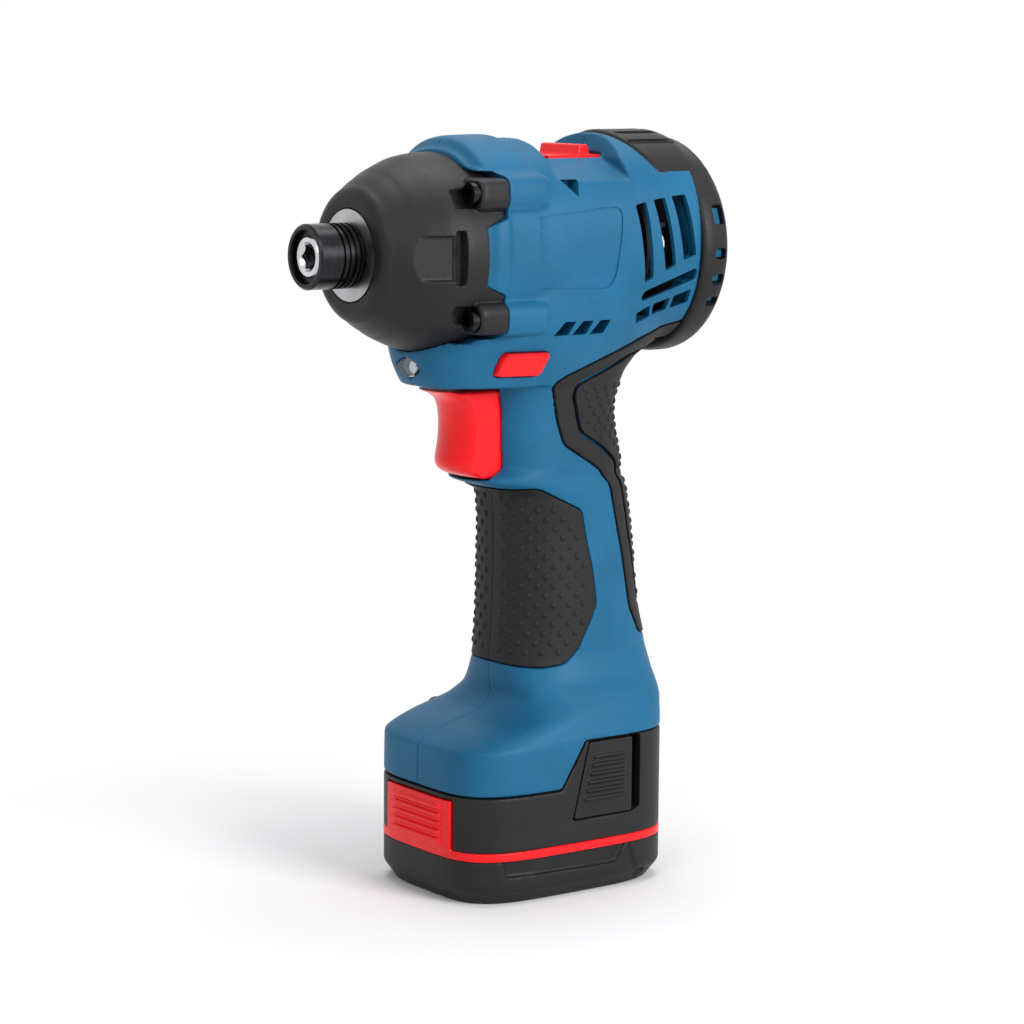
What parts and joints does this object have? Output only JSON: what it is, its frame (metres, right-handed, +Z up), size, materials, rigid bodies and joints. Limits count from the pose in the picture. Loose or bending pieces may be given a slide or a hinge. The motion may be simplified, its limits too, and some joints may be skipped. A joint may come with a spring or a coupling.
{
  "type": "impact driver",
  "caption": "Pistol-grip cordless impact driver with a hex bit socket, spring-loaded bit sleeve, trigger, reversing and speed selectors and a plug-in battery pack.",
  "frame": {"origin": "middle of the bounding box on the plane that the battery pack stands on", "axes": "+X forward out of the bit socket, +Y to the tool's left, +Z up along the grip"},
  "size_m": [0.1216, 0.0604, 0.2098],
  "materials": {
    "blue_plastic": "fine moulded grain",
    "dark_plastic": "satin moulded",
    "black_plastic": "satin moulded",
    "red_plastic": "smooth moulded",
    "white_plastic": "moulded",
    "soft_grip": "soft overmould with fine dots",
    "black_steel": "black oxide",
    "bright_steel": "ground",
    "spring_steel": "drawn wire",
    "tool_steel": "hardened",
    "cast_alloy": "turned casting",
    "bronze": "sintered",
    "copper": "enamelled wire",
    "contact_brass": "stamped",
    "lamination": "stacked sheets",
    "magnet": "plated",
    "lamp_body": "clear resin",
    "clear_lens": "polished clear",
    "board": "solder mask",
    "cell_wrap": "shrink wrap"
  },
  "bodies": {
    "body": {"anvil_bush": "bronze", "hammer_case": "cast_alloy", "nose_cover": "dark_plastic", "nose_screws": "black_steel", "ring_gear": "tool_steel", "gear_plate": "dark_plastic", "front_bearing": "bright_steel", "rear_bearing": "bright_steel", "stator": "lamination", "stator_insulators": "white_plastic", "stator_coils": "copper", "housing_left": "blue_plastic", "housing_right": "blue_plastic", "housing_screws": "black_steel", "rear_cap": "dark_plastic", "front_grip_left": "soft_grip", "front_grip_right": "soft_grip", "rear_grip_left": "soft_grip", "rear_grip_right": "soft_grip", "trigger_spring": "spring_steel", "switch_body": "black_plastic", "lamp": "lamp_body", "lamp_lens": "clear_lens", "control_board": "board", "contact_block": "black_plastic", "contact_blades": "contact_brass"},
    "spindle": {"spindle": "tool_steel", "planet_pins": "bright_steel", "cam_balls": "bright_steel", "hammer_spring": "spring_steel"},
    "hammer": {"hammer": "tool_steel"},
    "anvil": {"anvil": "bright_steel", "sleeve_ring": "black_steel", "detent_balls": "bright_steel", "sleeve_spring": "spring_steel"},
    "sleeve": {"bit_sleeve": "black_steel"},
    "planet_1": {"planet_gear_1": "tool_steel"},
    "planet_2": {"planet_gear_2": "tool_steel"},
    "planet_3": {"planet_gear_3": "tool_steel"},
    "rotor": {"motor_shaft": "bright_steel", "rotor_core": "lamination", "rotor_magnets": "magnet", "pinion": "tool_steel", "fan": "black_plastic"},
    "trigger": {"trigger": "red_plastic"},
    "direction": {"direction_selector": "red_plastic"},
    "speed": {"speed_selector": "red_plastic"},
    "battery": {"battery_case": "dark_plastic", "battery_band": "red_plastic", "battery_tray": "dark_plastic", "battery_cells": "cell_wrap", "battery_contacts": "contact_brass", "latch_spring_left": "spring_steel", "latch_spring_right": "spring_steel"},
    "latch_l": {"latch_left": "dark_plastic"},
    "latch_r": {"latch_right": "dark_plastic"}
  },
  "joints": [
    {"name": "spindle_spin", "type": "hinge", "parent": "body", "child": "spindle", "pos_m": [0, 0, 0.1773], "axis": [1, 0, 0], "continuous": true},
    {"name": "anvil_spin", "type": "hinge", "parent": "body", "child": "anvil", "pos_m": [0, 0, 0.1773], "axis": [1, 0, 0], "continuous": true},
    {"name": "planet_1_spin", "type": "hinge", "parent": "spindle", "child": "planet_1", "pos_m": [0, 0, 0.1878], "axis": [1, 0, 0], "continuous": true},
    {"name": "planet_2_spin", "type": "hinge", "parent": "spindle", "child": "planet_2", "pos_m": [0, -0.00909, 0.17205], "axis": [1, 0, 0], "continuous": true},
    {"name": "planet_3_spin", "type": "hinge", "parent": "spindle", "child": "planet_3", "pos_m": [0, 0.00909, 0.17205], "axis": [1, 0, 0], "continuous": true},
    {"name": "rotor_spin", "type": "hinge", "parent": "body", "child": "rotor", "pos_m": [0, 0, 0.1773], "axis": [1, 0, 0], "continuous": true},
    {"name": "hammer_slide", "type": "slide", "parent": "spindle", "child": "hammer", "axis": [-1, 0, 0], "range_m": [0, 0.0054], "stiffness_N_per_m": 4000, "springref_m": -0.006, "deforming": ["hammer_spring"]},
    {"name": "sleeve_slide", "type": "slide", "parent": "anvil", "child": "sleeve", "axis": [1, 0, 0], "range_m": [0, 0.0035], "stiffness_N_per_m": 600, "springref_m": -0.004, "deforming": ["sleeve_spring"]},
    {"name": "trigger_slide", "type": "slide", "parent": "body", "child": "trigger", "axis": [-1, 0, 0], "range_m": [0, 0.0065], "stiffness_N_per_m": 500, "springref_m": -0.006, "deforming": ["trigger_spring"]},
    {"name": "direction_slide", "type": "slide", "parent": "body", "child": "direction", "axis": [0, 1, 0], "range_m": [-0.0024, 0.0024]},
    {"name": "speed_slide", "type": "slide", "parent": "body", "child": "speed", "axis": [1, 0, 0], "range_m": [0, 0.006]},
    {"name": "battery_slide", "type": "slide", "parent": "body", "child": "battery", "axis": [0, 0, -1], "range_m": [0, 0.045]},
    {"name": "latch_left_slide", "type": "slide", "parent": "battery", "child": "latch_l", "axis": [0, -1, 0], "range_m": [0, 0.002], "stiffness_N_per_m": 700, "springref_m": -0.002, "deforming": ["latch_spring_left"]},
    {"name": "latch_right_slide", "type": "slide", "parent": "battery", "child": "latch_r", "axis": [0, 1, 0], "range_m": [0, 0.002], "stiffness_N_per_m": 700, "springref_m": -0.002, "deforming": ["latch_spring_right"]}
  ],
  "couplings": [
    {"joint": "anvil_spin", "follows": "spindle_spin", "ratio": 1},
    {"joint": "rotor_spin", "follows": "spindle_spin", "ratio": 5},
    {"joint": "planet_1_spin", "follows": "spindle_spin", "ratio": -2.6667},
    {"joint": "planet_2_spin", "follows": "spindle_spin", "ratio": -2.6667},
    {"joint": "planet_3_spin", "follows": "spindle_spin", "ratio": -2.6667}
  ]
}
